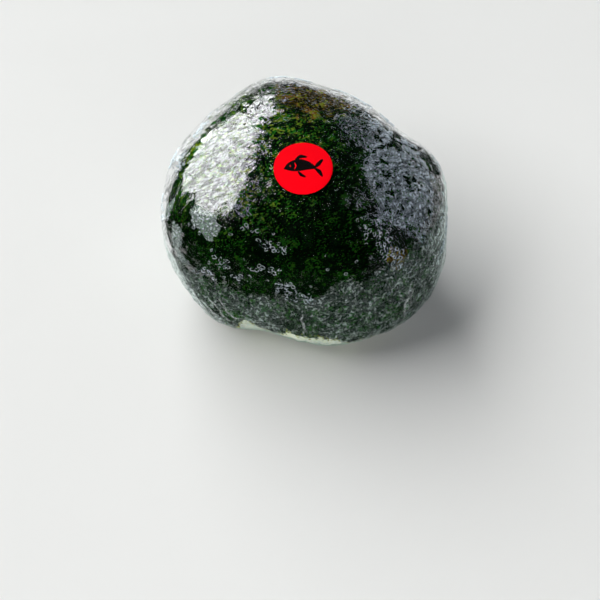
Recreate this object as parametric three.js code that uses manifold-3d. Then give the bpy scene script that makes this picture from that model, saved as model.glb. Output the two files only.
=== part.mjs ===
// A hand-formed rice ball: a core of cooked rice, a sheet of roasted seaweed wrapped over it,
// clear film drawn tight round both, and a round label stuck on the film.
// Millimetres, +Z up. The origin is on the surface the ball stands on, under the middle of its plan.
import * as THREE from "three";
import { mergeVertices } from "three/addons/utils/BufferGeometryUtils.js";
import Module from "manifold-3d";

const wasm = await Module();
wasm.setup();

// The outer form, measured from the middle of its widest level.
const PLAN_RADIUS = 36.7;
// Each lobe swells the plan `count` times a turn by a share of the radius, first at `towards` degrees.
const PLAN_LOBES = [
  { count: 2, share: 0.079, towards: -15 }, // wider than it is deep
  { count: 3, share: 0.054, towards: 93.7 }, // the three soft corners, one of them at the back
  { count: 4, share: 0.031, towards: 13.6 },
];
const CROWN = { height: 22.1, power: 2.16 }; // above the widest level: a low dome
const BASE = { height: 29.7, power: 3.1 }; // below it: fuller, with a broad underside
const LEAN = { x: -4.2, y: 14 }; // how far the crown is pushed over, from the base to the top
const PRESSED_FLAT = 0.9; // how much of the underside the ball's own weight has pressed flat

// Where the palms and fingers left a swelling or a hollow, and how wide each of them is, in degrees.
const HAND_MARKS = [
  { azimuth: -174, elevation: 4, height: -1.0 },
  { azimuth: -156, elevation: -24, height: -0.7 },
  { azimuth: -138, elevation: -35, height: 0.9 },
  { azimuth: -119, elevation: -40, height: -1.1 },
  { azimuth: -73, elevation: -40, height: 0.4 },
  { azimuth: -30, elevation: -27, height: 0.3 },
  { azimuth: -6, elevation: -9, height: -0.6 },
  { azimuth: 4, elevation: 3, height: 0.9 },
  { azimuth: 12, elevation: 12, height: 0.9 },
  { azimuth: 25, elevation: 19, height: -1.5 },
  { azimuth: 41, elevation: 25, height: 0.3 },
  { azimuth: 60, elevation: 26, height: 0.5 },
  { azimuth: 84, elevation: 23, height: -0.5 },
  { azimuth: 128, elevation: 20, height: -0.9 },
  { azimuth: 153, elevation: 19, height: -0.3 },
];
const HAND_MARK_SPREAD = 11;
// A slow unevenness all over: waves a turn along x, y and z, and where each starts.
const RIPPLE_HEIGHT = 0.12;
const RIPPLES = [
  { x: 3.1, y: 7.9, z: 5.3, start: 0.4 },
  { x: 8.3, y: -2.7, z: 4.9, start: 1.9 },
  { x: -5.1, y: 4.4, z: 8.8, start: 3.3 },
];

// The layers, as depths under the outer face of the film.
const FILM_THICKNESS = 0.35;
const LAYER_GAP = 0.35;
const NORI_THICKNESS = 0.5;
const NORI_DEPTH = FILM_THICKNESS + LAYER_GAP;
const RICE_DEPTH = NORI_DEPTH + NORI_THICKNESS + LAYER_GAP;
const FACETS_PER_EDGE = 9; // along each edge of the icosahedron that every layer is spread from

// The sheet of seaweed ends in a torn edge low on the sides, and higher along the front.
const NORI_EDGE_ELEVATION = -41;
const NORI_EDGE_RISES = [
  { azimuth: -124, rise: 12, spread: 8 },
  { azimuth: -92, rise: 12, spread: 20 },
  { azimuth: -70, rise: 5, spread: 12 },
  { azimuth: 60, rise: 5, spread: 30 },
  { azimuth: 165, rise: -4, spread: 25 },
];
const NORI_EDGE_POINTS = 120;
const NORI_TEAR = 1.1; // degrees up and down
const NORI_TEAR_WAVES = [17, 29, 47]; // tears a turn, coarse to fine

// The film closes to a small gathered opening under the ball.
const FILM_OPENING_HALF_ANGLE = 9;
const FILM_OPENING_POINTS = 24;

// Grains of rice that show where the seaweed leaves the core bare.
const GRAIN = { length: 5.6, width: 2.9, thickness: 2.3 };
const GRAIN_SHRINK = 0.16; // how much shorter the smallest grains are
const GRAIN_TOP_DEPTH = 0.85;
const GRAIN_PLACES = 1500; // places tried over the underside
const GRAIN_HIGHEST_ELEVATION = -24;
const GRAIN_CLEARANCE = 2.2; // degrees kept between a grain and the edge of the seaweed
const GRAIN_SIDES = 6;
const GRAIN_RINGS = 4;
const GRAIN_SEED = 20;
const GRAIN_RIM = [0, 45, 90, 135, 180, 225, 270, 315].map(THREE.MathUtils.degToRad);
const GRAIN_BEADS = [-0.28, -0.14, 0, 0.14, 0.28]; // places along a grain, as shares of its length

// The label, on the crown and a little towards the front.
const LABEL_RADIUS = 8;
const LABEL_THICKNESS = 0.3;
const LABEL_GAP = 0.3;
const LABEL_AIM = new THREE.Vector3(1.9, -12.5, 20.8); // from the middle, before the lean
const LABEL_RINGS = 4;
const LABEL_SIDES = 36;

const COLOURS = { rice: 0xefece0, nori: 0x16240f, film: 0xeef2f2, label: 0xff0a2a };

const GOLDEN_ANGLE = Math.PI * (3 - Math.sqrt(5));
const FAR = 120; // past every face of the ball

const radians = THREE.MathUtils.degToRad;
const degrees = THREE.MathUtils.radToDeg;

function directionAt(azimuth, elevation) {
  const level = Math.cos(elevation);
  return new THREE.Vector3(level * Math.cos(azimuth), level * Math.sin(azimuth), Math.sin(elevation));
}

// A small repeatable random generator, from 0 to 1.
function seededRandom(seed) {
  let state = seed;
  return () => {
    state = (Math.imul(state, 1664525) + 1013904223) >>> 0;
    return state / 4294967296;
  };
}

// ---- the outer form ----

function planRadius(azimuth) {
  const swell = PLAN_LOBES.reduce(
    (sum, lobe) => sum + lobe.share * Math.cos(lobe.count * (azimuth - radians(lobe.towards))), 0);
  return PLAN_RADIUS * (1 + swell);
}

function handMarks(direction) {
  return HAND_MARKS.reduce((sum, mark) => {
    const middle = directionAt(radians(mark.azimuth), radians(mark.elevation));
    const away = 2 * (1 - direction.dot(middle)) / radians(HAND_MARK_SPREAD) ** 2;
    return sum + mark.height * Math.exp(-away);
  }, 0);
}

function ripple(direction) {
  return RIPPLE_HEIGHT * RIPPLES.reduce((sum, wave) => sum + Math.sin(
    wave.x * direction.x + wave.y * direction.y + wave.z * direction.z + wave.start), 0);
}

const FULL_HEIGHT = CROWN.height + BASE.height;
const FLOOR_LEVEL = PRESSED_FLAT - BASE.height;

function leaned(point) {
  return point.clone().add(new THREE.Vector3(LEAN.x, LEAN.y, 0).multiplyScalar(point.z / FULL_HEIGHT));
}

// The point of the outer form that lies in one direction from its middle, before the lean.
function outerPoint(direction) {
  const { height, power } = direction.z > 0 ? CROWN : BASE;
  const across = Math.hypot(direction.x, direction.y) / planRadius(Math.atan2(direction.y, direction.x));
  const upright = Math.abs(direction.z) / height;
  const reach = (across ** power + upright ** power) ** (-1 / power);
  const point = direction.clone().multiplyScalar(reach + handMarks(direction) + ripple(direction));
  point.z = Math.max(point.z, FLOOR_LEVEL);
  return leaned(point);
}

// The direction, before the lean, of the line from the middle through a point.
function directionThrough(point) {
  const lean = new THREE.Vector3(LEAN.x, LEAN.y, 0).multiplyScalar(point.z / FULL_HEIGHT);
  return point.clone().sub(lean).normalize();
}

// ---- solids ----

function solidFrom(geometry) {
  const bare = geometry.clone();
  bare.deleteAttribute("normal");
  bare.deleteAttribute("uv");
  const merged = mergeVertices(bare, 1e-4);
  return new wasm.Manifold(new wasm.Mesh({
    numProp: 3,
    vertProperties: merged.getAttribute("position").array,
    triVerts: new Uint32Array(merged.index.array),
  }));
}

function geometryFrom(solid) {
  const mesh = solid.getMesh();
  const geometry = new THREE.BufferGeometry();
  geometry.setAttribute("position", new THREE.BufferAttribute(mesh.vertProperties, 3));
  geometry.setIndex(new THREE.BufferAttribute(mesh.triVerts, 1));
  geometry.computeVertexNormals();
  return geometry;
}

function geometryOf(points, triangles) {
  const geometry = new THREE.BufferGeometry().setFromPoints(points);
  geometry.setIndex(triangles.flat());
  return geometry;
}

// The outer form as a mesh whose vertices lie in even directions all round.
function outerForm() {
  const sphere = new THREE.IcosahedronGeometry(1, FACETS_PER_EDGE - 1);
  sphere.deleteAttribute("normal");
  sphere.deleteAttribute("uv");
  const form = mergeVertices(sphere, 1e-4);
  const position = form.getAttribute("position");
  for (let i = 0; i < position.count; i++) {
    const point = outerPoint(new THREE.Vector3().fromBufferAttribute(position, i).normalize());
    position.setXYZ(i, point.x, point.y, point.z);
  }
  form.computeVertexNormals();
  return form;
}

const OUTER_FORM = outerForm();

// A closed face an even depth under the outer form.
function faceAtDepth(depth) {
  const face = OUTER_FORM.clone();
  const position = face.getAttribute("position");
  const normal = face.getAttribute("normal");
  for (let i = 0; i < position.count; i++) {
    const point = new THREE.Vector3().fromBufferAttribute(position, i);
    point.addScaledVector(new THREE.Vector3().fromBufferAttribute(normal, i), -depth);
    position.setXYZ(i, point.x, point.y, point.z);
  }
  return solidFrom(face);
}

// Everything under a cone with its tip in the middle, whose edge follows elevationAt(azimuth).
function underCone(sides, elevationAt) {
  const points = [new THREE.Vector3(), leaned(new THREE.Vector3(0, 0, -FAR))];
  const triangles = [];
  for (let i = 0; i < sides; i++) {
    const azimuth = 2 * Math.PI * i / sides;
    points.push(leaned(directionAt(azimuth, elevationAt(azimuth)).multiplyScalar(FAR)));
    const here = 2 + i;
    const next = 2 + (i + 1) % sides;
    triangles.push([0, here, next], [1, next, here]);
  }
  return solidFrom(geometryOf(points, triangles));
}

// The largest piece of a solid, without the hollows that fused pieces shut in and any loose scrap.
function mainPiece(solid) {
  return solid.decompose().reduce((largest, piece) =>
    piece.volume() > largest.volume() ? piece : largest);
}

function skin(depth, thickness, opening) {
  return faceAtDepth(depth).subtract(faceAtDepth(depth + thickness)).subtract(opening);
}

// ---- film ----

function film() {
  const opening = underCone(FILM_OPENING_POINTS, () => radians(FILM_OPENING_HALF_ANGLE - 90));
  return skin(0, FILM_THICKNESS, opening);
}

// ---- seaweed ----

function turnBetween(azimuth, degreesTowards) {
  const turn = degrees(azimuth) - degreesTowards;
  return turn - 360 * Math.round(turn / 360);
}

// How far down the sheet reaches, as an elevation from the middle.
function noriEdge(azimuth) {
  const rise = NORI_EDGE_RISES.reduce((sum, part) =>
    sum + part.rise * Math.exp(-((turnBetween(azimuth, part.azimuth) / part.spread) ** 2)), 0);
  const tear = NORI_TEAR_WAVES.reduce((sum, waves, i) =>
    sum + NORI_TEAR / (i + 1) * Math.sin(waves * azimuth + i), 0);
  return radians(NORI_EDGE_ELEVATION + rise + tear);
}

function nori() {
  return skin(NORI_DEPTH, NORI_THICKNESS, underCone(NORI_EDGE_POINTS, noriEdge));
}

// ---- rice ----

// The outward normal of the outer form in one direction from its middle.
function outerNormal(direction) {
  const side = new THREE.Vector3(0, 0, 1).cross(direction);
  if (side.lengthSq() < 1e-6) side.set(1, 0, 0);
  side.normalize().multiplyScalar(0.01);
  const up = direction.clone().cross(side);
  const at = (step) => outerPoint(direction.clone().add(step).normalize());
  const alongSide = at(side).sub(at(side.clone().negate()));
  const alongUp = at(up).sub(at(up.clone().negate()));
  return alongSide.cross(alongUp).normalize();
}

function isBare(point) {
  const direction = directionThrough(point);
  const edge = noriEdge(Math.atan2(direction.y, direction.x));
  return Math.asin(direction.z) < edge - radians(GRAIN_CLEARANCE);
}

// A grain lying on the outer form: its middle, its axes and its size against the largest.
function grainLyingAt(direction, turn, size) {
  const normal = outerNormal(direction);
  const along = new THREE.Vector3(1, 0, 0).cross(normal).normalize().applyAxisAngle(normal, turn);
  return { middle: outerPoint(direction), normal, along, across: normal.clone().cross(along), size };
}

function besideGrain(grain, axis, distance) {
  return grain.middle.clone().addScaledVector(axis, distance * grain.size);
}

// True if the seaweed leaves the rice under the whole grain bare.
function lyingBare(grain) {
  return GRAIN_RIM.every((angle) => {
    const end = besideGrain(grain, grain.along, GRAIN.length / 2 * Math.cos(angle));
    return isBare(end.addScaledVector(grain.across, GRAIN.width / 2 * Math.sin(angle) * grain.size));
  });
}

// True if two grains lie side by side without crossing, each taken as a row of round beads.
function clearOf(grain, other) {
  return GRAIN_BEADS.every((mine) => GRAIN_BEADS.every((theirs) =>
    besideGrain(grain, grain.along, mine * GRAIN.length)
      .distanceTo(besideGrain(other, other.along, theirs * GRAIN.length)) > GRAIN.width));
}

function layGrains() {
  const random = seededRandom(GRAIN_SEED);
  const highest = Math.sin(radians(GRAIN_HIGHEST_ELEVATION));
  const laid = [];
  for (let i = 0; i < GRAIN_PLACES; i++) {
    const height = -1 + (highest + 1) * (i + 0.5) / GRAIN_PLACES;
    const direction = directionAt(i * GOLDEN_ANGLE, Math.asin(height));
    const grain = grainLyingAt(direction, 2 * Math.PI * random(), 1 - GRAIN_SHRINK * random());
    if (lyingBare(grain) && laid.every((other) => clearOf(grain, other))) laid.push(grain);
  }
  return laid;
}

function grainSolid({ middle, normal, along, across, size }) {
  const depth = GRAIN_TOP_DEPTH + GRAIN.thickness * size / 2;
  const centre = middle.clone().addScaledVector(normal, -depth);
  const frame = new THREE.Matrix4().makeBasis(across.clone().negate(), along, normal);
  const grain = new THREE.SphereGeometry(0.5, GRAIN_SIDES, GRAIN_RINGS);
  grain.scale(GRAIN.width * size, GRAIN.length * size, GRAIN.thickness * size);
  return solidFrom(grain.applyMatrix4(frame).translate(centre.x, centre.y, centre.z));
}

function rice() {
  const core = faceAtDepth(RICE_DEPTH);
  return mainPiece(layGrains().reduce((solid, grain) => solid.add(grainSolid(grain)), core));
}

// ---- label ----

// A thin disc that follows the form: rings of points on its under and upper faces, stitched together.
function label() {
  const centre = outerPoint(LABEL_AIM.clone().normalize());
  const normal = outerNormal(LABEL_AIM.clone().normalize());
  const right = new THREE.Vector3(0, 1, 0).cross(normal).normalize();
  const back = normal.clone().cross(right);
  const onForm = (radius, angle) => {
    const flat = centre.clone()
      .addScaledVector(right, radius * Math.cos(angle))
      .addScaledVector(back, radius * Math.sin(angle));
    const drop = flat.clone().sub(outerPoint(directionThrough(flat))).dot(normal);
    const lowered = flat.clone().addScaledVector(normal, -drop);
    const rest = lowered.clone().sub(outerPoint(directionThrough(lowered))).dot(normal);
    return lowered.addScaledVector(normal, -rest);
  };
  const points = [];
  for (const lift of [LABEL_GAP, LABEL_GAP + LABEL_THICKNESS]) {
    points.push(centre.clone().addScaledVector(normal, lift));
    for (let ring = 1; ring <= LABEL_RINGS; ring++)
      for (let i = 0; i < LABEL_SIDES; i++)
        points.push(onForm(LABEL_RADIUS * ring / LABEL_RINGS, 2 * Math.PI * i / LABEL_SIDES)
          .addScaledVector(normal, lift));
  }
  const perFace = 1 + LABEL_RINGS * LABEL_SIDES;
  const at = (face, ring, i) =>
    face * perFace + (ring ? 1 + (ring - 1) * LABEL_SIDES + i % LABEL_SIDES : 0);
  const triangles = [];
  for (let i = 0; i < LABEL_SIDES; i++) {
    triangles.push([at(1, 0, 0), at(1, 1, i), at(1, 1, i + 1)]);
    triangles.push([at(0, 0, 0), at(0, 1, i + 1), at(0, 1, i)]);
    for (let ring = 1; ring < LABEL_RINGS; ring++) {
      triangles.push([at(1, ring, i), at(1, ring + 1, i), at(1, ring + 1, i + 1)]);
      triangles.push([at(1, ring, i), at(1, ring + 1, i + 1), at(1, ring, i + 1)]);
      triangles.push([at(0, ring, i), at(0, ring + 1, i + 1), at(0, ring + 1, i)]);
      triangles.push([at(0, ring, i), at(0, ring, i + 1), at(0, ring + 1, i + 1)]);
    }
    const rim = LABEL_RINGS;
    triangles.push([at(0, rim, i), at(0, rim, i + 1), at(1, rim, i + 1)]);
    triangles.push([at(0, rim, i), at(1, rim, i + 1), at(1, rim, i)]);
  }
  return solidFrom(geometryOf(points, triangles));
}

// ---- the ball ----

const ball = new THREE.Group();

function addPiece(name, solid, material) {
  const mesh = new THREE.Mesh(geometryFrom(solid), new THREE.MeshStandardMaterial(material));
  mesh.name = name;
  ball.add(mesh);
}

addPiece("rice", rice(), { color: COLOURS.rice, roughness: 0.55, metalness: 0 });
addPiece("nori", nori(), { color: COLOURS.nori, roughness: 0.65, metalness: 0 });
addPiece("film", film(), {
  color: COLOURS.film, roughness: 0.12, metalness: 0, transparent: true, opacity: 0.2,
});
addPiece("label", label(), { color: COLOURS.label, roughness: 0.45, metalness: 0 });

// The ball stands on the ground with the middle of its plan over the origin.
OUTER_FORM.computeBoundingBox();
const middle = OUTER_FORM.boundingBox.getCenter(new THREE.Vector3());
ball.position.set(-middle.x, -middle.y, -FLOOR_LEVEL);

export default ball;
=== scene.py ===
"""A hand-formed rice ball in its looks: rice grains over a core, roasted seaweed wrapped round them,
crinkled clear film over both and a round label on the film. Lengths are worked in millimetres and
turned into metres where a mesh, a light or the camera is made."""

from functools import cached_property
import itertools

import bmesh
import bpy
import numpy as np
from numpy import cos, radians, sin
from mathutils import Matrix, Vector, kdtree


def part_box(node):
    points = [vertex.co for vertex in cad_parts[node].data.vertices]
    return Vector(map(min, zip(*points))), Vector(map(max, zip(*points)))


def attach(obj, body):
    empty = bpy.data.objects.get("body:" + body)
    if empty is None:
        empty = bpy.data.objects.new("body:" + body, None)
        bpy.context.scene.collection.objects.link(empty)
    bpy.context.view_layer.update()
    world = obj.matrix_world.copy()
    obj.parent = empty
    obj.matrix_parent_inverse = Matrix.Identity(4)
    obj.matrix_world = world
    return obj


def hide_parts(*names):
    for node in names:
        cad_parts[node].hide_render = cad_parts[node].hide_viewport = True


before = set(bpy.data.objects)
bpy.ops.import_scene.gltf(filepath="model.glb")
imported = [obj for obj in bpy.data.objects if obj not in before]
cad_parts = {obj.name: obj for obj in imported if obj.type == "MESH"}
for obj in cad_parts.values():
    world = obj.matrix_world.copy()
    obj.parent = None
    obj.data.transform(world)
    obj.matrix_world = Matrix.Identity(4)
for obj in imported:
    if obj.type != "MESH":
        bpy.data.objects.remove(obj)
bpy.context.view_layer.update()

MM = 0.001
TURN = 2 * np.pi
GOLDEN_ANGLE = np.pi * (3 - 5 ** 0.5)

# ---- the outer form, measured from the middle of its widest level ----
PLAN_RADIUS = 36.7
PLAN_LOBES = [(2, 0.079, -15), (3, 0.054, 93.7), (4, 0.031, 13.6)]  # lobes a turn, share, towards
CROWN_HEIGHT, CROWN_POWER = 22.1, 2.16
BASE_HEIGHT, BASE_POWER = 29.7, 3.1
LEAN = np.array([-4.2, 14.0, 0.0])
PRESSED_FLAT = 0.9
FULL_HEIGHT = CROWN_HEIGHT + BASE_HEIGHT
FLOOR_LEVEL = PRESSED_FLAT - BASE_HEIGHT
LAYER_CLEARANCE, GRAIN_CLEARANCE = 0.02, 0.35  # over the floor
HAND_MARK_SPREAD = 11
HAND_MARKS = [(azimuth, elevation, height, HAND_MARK_SPREAD) for azimuth, elevation, height in (
    (-174, 4, -1.0), (-156, -24, -0.7), (-138, -35, 0.9), (-119, -40, -1.1), (-73, -40, 0.4),
    (-30, -27, 0.3), (-6, -9, -0.6), (4, 3, 0.9), (12, 12, 0.9), (25, 19, -1.5),
    (41, 25, 0.3), (60, 26, 0.5), (84, 23, -0.5), (128, 20, -0.9), (153, 19, -0.3))]
RIPPLE_HEIGHT = 0.12
RIPPLES = [((3.1, 7.9, 5.3), 0.4), ((8.3, -2.7, 4.9), 1.9), ((-5.1, 4.4, 8.8), 3.3)]

# ---- the layers: depths are measured inwards from the outer form ----
FORM_CUTS = 88  # along each edge of the icosahedron that the film and the seaweed are spread from
CORE_CUTS = 44
CORE_DEPTH, CORE_RISE = 2.4, 0.5
NORI_DEPTH = 0.85
NORI_THICKNESS = 0.35
NORI_RISE = 0.55  # how far a grain lifts the seaweed over it
NORI_PUCKERS = [(2.2, 0.05, 3), (0.9, 0.03, 4)]  # size, height, seed
FILM_DEPTH, FILM_RISE = 0.3, 0.16
LOW_FILM_DEPTH, LOW_FILM_RISE = 0.42, 0.36  # low on the sides, where it follows the grains closely
NORI_EVENING, FILM_EVENING, LOW_FILM_EVENING = 2, 12, 3  # rounds that even out the hollows each spans
LEAST_GAP = 0.07

EDGE_ELEVATION = -41
EDGE_RISES = [(-124, 12, 8), (-92, 12, 20), (-70, 5, 12), (60, 5, 30), (165, -4, 25)]
EDGE_SNAP = 0.42  # degrees within which the sheet's points move onto its edge
NORI_TEAR = 1.1
NORI_TEAR_WAVES = (17, 29, 47, 83)

GRAIN = np.array([5.6, 2.9, 2.3])  # length, width and thickness
GRAIN_SIZES = 0.84, 1.05
GRAIN_COUNT = 1300
GRAIN_SCATTER = 0.018
GRAIN_TOP_DEPTH = 0.95
GRAIN_BEND, GRAIN_TILT, GRAIN_SINK = 0.1, 0.12, 0.3
BARE_RISE = 0.55  # how much higher the rice stands where no seaweed presses it down
BARE_RANGE = -1, 5  # degrees below the seaweed's edge over which it rises so
GRAINS_ABOVE_EDGE = 3.5  # degrees
GRAIN_SEED = 20
SWELL_MARGIN = 0.2  # past a grain's ends

# Where the film stands off the seaweed: azimuth, elevation, gap, spread.
LOOSE_FILM = [
    (186, -4, 1.1, 22), (203, -24, 0.8, 14), (-12, -6, 0.5, 20), (-28, -28, 0.4, 14), (24, 20, 1.0, 12)]

# Round areas of the layers, each a place from the form's middle and a reach.
AIRY = [((-22.5, 2.5, 17.5), 12), ((-22.5, -8, 16), 12.5)]  # the most air caught under the film
SPECKLED = [((-22.5, -3, 17.5), 22), ((-11.5, 15.5, 21), 9)]
AIRY_SIDE = [((28, -9, 14), 17), ((14, 7, 21), 8)]
CLINGING = [  # hardly any air
    ((-33.5, -12.5, 10.5), 8), ((-26, -22.5, 6), 9.5), ((-2, -29, 6), 26),
    ((7, -5, 20.5), 13), ((-1, 5, 22), 12), ((3, 17, 20), 10),
    ((-6.5, -6, 21), 7)]
SLACK = [((-32, 6, 8), 22)]  # where the film stands loosest, at the side
FAINT = [((12.5, 7.5, 20.5), 10)]  # where the film mirrors least of the light from the side
LUSH_AND_LIT = [((-16, 3, 18), 32)]  # the greenest seaweed, also painted lighter and more flecked as light where the softbox falls on the upper left
TOASTED = [((3, 21, 18), 17), ((26.3, -25.2, 4.8), 5.5)]  # seaweed roasted to brown
# A line above the slack that the film clings along.
SEAM = np.array([
    (-35.8, -7.5, 10.5), (-34, -4, 12.8), (-30, 3.5, 16), (-24.5, 12.8, 17.4), (-14.5, 18.5, 19.6)])
SEAM_REACH, SEAM_STEPS = 1.9, 17
# Below this level, which is higher on the right, the film lies over small bumps and has a greyer sheen.
SHEEN_LEVEL, SHEEN_RISE = -4.0, 9.0

DRAWN_TURN = 28  # degrees from x to the way that the film is drawn and the fibres lie
DRAWN = dict(lengths=(1.6, 0.75, 0.9), turn=(0, 0, DRAWN_TURN))

LABEL_RADIUS = 8.0
LABEL_THICKNESS = 0.08
LABEL_EDGE = 0.05  # how far it is rounded, and reaches into the film
LABEL_SIDES, LABEL_RINGS = 96, 12


def unit(vectors):
    return vectors / np.linalg.norm(vectors, axis=-1, keepdims=True)


LABEL_AIM = unit(np.array([1.9, -12.5, 20.8]))


def direction_at(azimuth, elevation):
    """The directions at azimuths and elevations in degrees."""
    a, e = radians(azimuth), radians(elevation)
    return np.stack([cos(e) * cos(a), cos(e) * sin(a), sin(e)], -1)


def angles_of(directions):
    """The azimuths and elevations of directions, in degrees."""
    azimuth = np.arctan2(directions[:, 1], directions[:, 0])
    return np.degrees(azimuth), np.degrees(np.arcsin(np.clip(directions[:, 2], -1, 1)))


def spokes(sides):
    """Even angles round a ring."""
    return TURN * np.arange(sides) / sides


def turned(along, across, angle):
    """A plan turned by an angle."""
    return along * cos(angle) - across * sin(angle), along * sin(angle) + across * cos(angle)


def eased(value, low, high):
    """0 below low, 1 above high, and a smooth step between."""
    t = np.clip((value - low) / (high - low), 0, 1)
    return t * t * (3 - 2 * t)


def spots(directions, places):
    """The sum of round swellings, each an azimuth, an elevation, a height and a spread in degrees."""
    total = np.zeros(len(directions))
    for azimuth, elevation, height, spread in places:
        away = 2 * (1 - directions @ direction_at(azimuth, elevation))
        total += height * np.exp(-away / radians(spread) ** 2)
    return total


def soft_noise(points, size, seed):
    """Smooth random lumps of about that size, from -1 to 1."""
    cells = 32  # each way, before the lumps repeat
    lattice = np.random.default_rng(seed).uniform(-1, 1, (cells, cells, cells))
    cell = points / size + cells // 2
    low = np.floor(cell).astype(int)
    t = cell - low
    t = t * t * (3 - 2 * t)
    value = np.zeros(len(points))
    for corner in itertools.product((0, 1), repeat=3):
        index = (low + corner) % cells
        weight = np.prod(np.where(corner, t, 1 - t), axis=1)
        value += weight * lattice[index[:, 0], index[:, 1], index[:, 2]]
    return value


def tree_of(points):
    """The points, sorted to find near ones fast."""
    tree = kdtree.KDTree(len(points))
    for index, point in enumerate(points):
        tree.insert(point, index)
    tree.balance()
    return tree


# ---- triangles ----

def edges(triangles):
    return np.vstack([triangles[:, [0, 1]], triangles[:, [1, 2]], triangles[:, [2, 0]]])


def slopes(points, triangles):
    """The triangles' normals, each as long as twice its area."""
    a, b, c = (points[triangles[:, corner]] for corner in range(3))
    return np.cross(b - a, c - a)


def outward_normals(points, triangles):
    slope = slopes(points, triangles)
    total = np.zeros_like(points)
    for corner in range(3):
        np.add.at(total, triangles[:, corner], slope)
    return unit(total)


def row_faces(first, columns, rows, closed=True):
    """Triangles between rows of points counted from the first. Each row is a closed ring or a line."""
    triangles = []
    for row, k in itertools.product(range(rows - 1), range(columns if closed else columns - 1)):
        a, b, n = first + row * columns, first + (row + 1) * columns, (k + 1) % columns
        triangles += [(a + k, b + k, b + n), (a + k, b + n, a + n)]
    return triangles


def fan_faces(first, sides):
    """Triangles over a ring of points counted from the first."""
    return [(first, first + k, first + k + 1) for k in range(1, sides - 1)]


def cone_faces(tip, first, sides):
    """Triangles between one point and a ring of points counted from the first."""
    return [(tip, first + k, first + (k + 1) % sides) for k in range(sides)]


def turned_over(triangles):
    return [(a, c, b) for a, b, c in triangles]


# ---- the form on an even mesh ----

def even_directions(cuts):
    """Directions spread evenly all round, and the triangles between them."""
    solid = bmesh.new()
    bmesh.ops.create_icosphere(solid, subdivisions=1, radius=1)
    rows = [(i, j) for i in range(cuts + 1) for j in range(i + 1)]
    shares = np.array([(cuts - i, i - j, j) for i, j in rows]) / cuts
    at = lambda i, j: i * (i + 1) // 2 + j
    patch = np.array([(at(i, j), at(i + 1, j), at(i + 1, j + 1)) for i in range(cuts) for j in range(i + 1)]
                     + [(at(i, j), at(i + 1, j + 1), at(i, j + 1)) for i in range(cuts) for j in range(i)])
    points, triangles = [], []
    for number, face in enumerate(solid.faces):
        corners = np.array([corner.co for corner in face.verts])
        points.append(shares @ corners)
        triangles.append(patch + number * len(rows))
    solid.free()
    points = unit(np.vstack(points))
    _, first, merged = np.unique(np.round(points, 6), axis=0, return_index=True, return_inverse=True)
    return points[first], merged.reshape(-1)[np.vstack(triangles)]


def outer_points(directions):
    """The points of the outer form in these directions from its middle."""
    across = np.hypot(directions[:, 0], directions[:, 1])
    azimuth = np.arctan2(directions[:, 1], directions[:, 0])
    lobes = sum(share * cos(count * (azimuth - radians(towards)))
                for count, share, towards in PLAN_LOBES)
    over = directions[:, 2] > 0
    power = np.where(over, CROWN_POWER, BASE_POWER)
    upright = np.abs(directions[:, 2]) / np.where(over, CROWN_HEIGHT, BASE_HEIGHT)
    reach = ((across / (PLAN_RADIUS * (1 + lobes))) ** power + upright ** power) ** (-1 / power)
    ripple = sum(sin(directions @ np.array(wave) + start) for wave, start in RIPPLES)
    points = directions * (reach + spots(directions, HAND_MARKS) + RIPPLE_HEIGHT * ripple)[:, None]
    points[:, 2] = np.maximum(points[:, 2], FLOOR_LEVEL)
    return points + LEAN * points[:, 2:] / FULL_HEIGHT


class Form:
    """The outer form in many directions, with its points, outward normals and triangles."""

    def __init__(self, directions, triangles):
        self.directions, self.triangles = directions, triangles
        self.points = outer_points(directions)
        self.normals = outward_normals(self.points, triangles)
        self.azimuth, self.elevation = angles_of(directions)

    @cached_property
    def tree(self):
        return tree_of(self.directions)

    def nearest(self, directions):
        """Which of the form's points lies nearest each direction."""
        return np.array([self.tree.find(direction)[1] for direction in directions])

    def at_depth(self, depth):
        points = self.points - self.normals * np.asarray(depth)[..., None]
        points[:, 2] = np.maximum(points[:, 2], FLOOR_LEVEL + LAYER_CLEARANCE)
        return points

    def evened(self, values, rounds):
        """The values spread out over their neighbours, as a drawn sheet spans small hollows."""
        count, ends = len(values), edges(self.triangles)
        share = np.bincount(ends[:, 0], minlength=count)
        for _ in range(rounds):
            values = np.bincount(ends[:, 0], weights=values[ends[:, 1]], minlength=count) / share
        return values


ball = Form(*even_directions(FORM_CUTS))
core = Form(*even_directions(CORE_CUTS))
film_low, film_high = (np.array(corner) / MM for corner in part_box("film"))
MIDDLE = (film_low + film_high) / 2 - (ball.points.max(0) + ball.points.min(0)) / 2
MIDDLE[2] = -FLOOR_LEVEL
LEAST_TRIANGLE = 1e-7  # twice its area, so that the tips of fans leave no empty ones


def add(name, data):
    made = bpy.data.objects.new(name, data)
    bpy.context.scene.collection.objects.link(made)
    return made


def add_mesh(name, points, faces, finish, smooth=False):
    """A mesh from points in metres."""
    mesh = bpy.data.meshes.new(name)
    mesh.from_pydata(points, [], faces)
    mesh.polygons.foreach_set("use_smooth", [smooth] * len(mesh.polygons))
    mesh.materials.append(finish)
    mesh.update()
    return add(name, mesh)


def piece(name, points, triangles, finish, node=None, smooth=True):
    """A mesh of the object from points in millimetres from the form's middle."""
    points, triangles = np.asarray(points), np.asarray(triangles)
    triangles = triangles[np.linalg.norm(slopes(points, triangles), axis=1) > LEAST_TRIANGLE]
    made = add_mesh(name, (points + MIDDLE) * MM, triangles.tolist(), finish, smooth)
    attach(made, "root")
    if node:
        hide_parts(node)


# ---- finishes ----

CLEAR = (0.97, 0.98, 0.975, 1)
FILM_INDEX = 1.85  # of refraction; it stands for several layers


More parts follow.
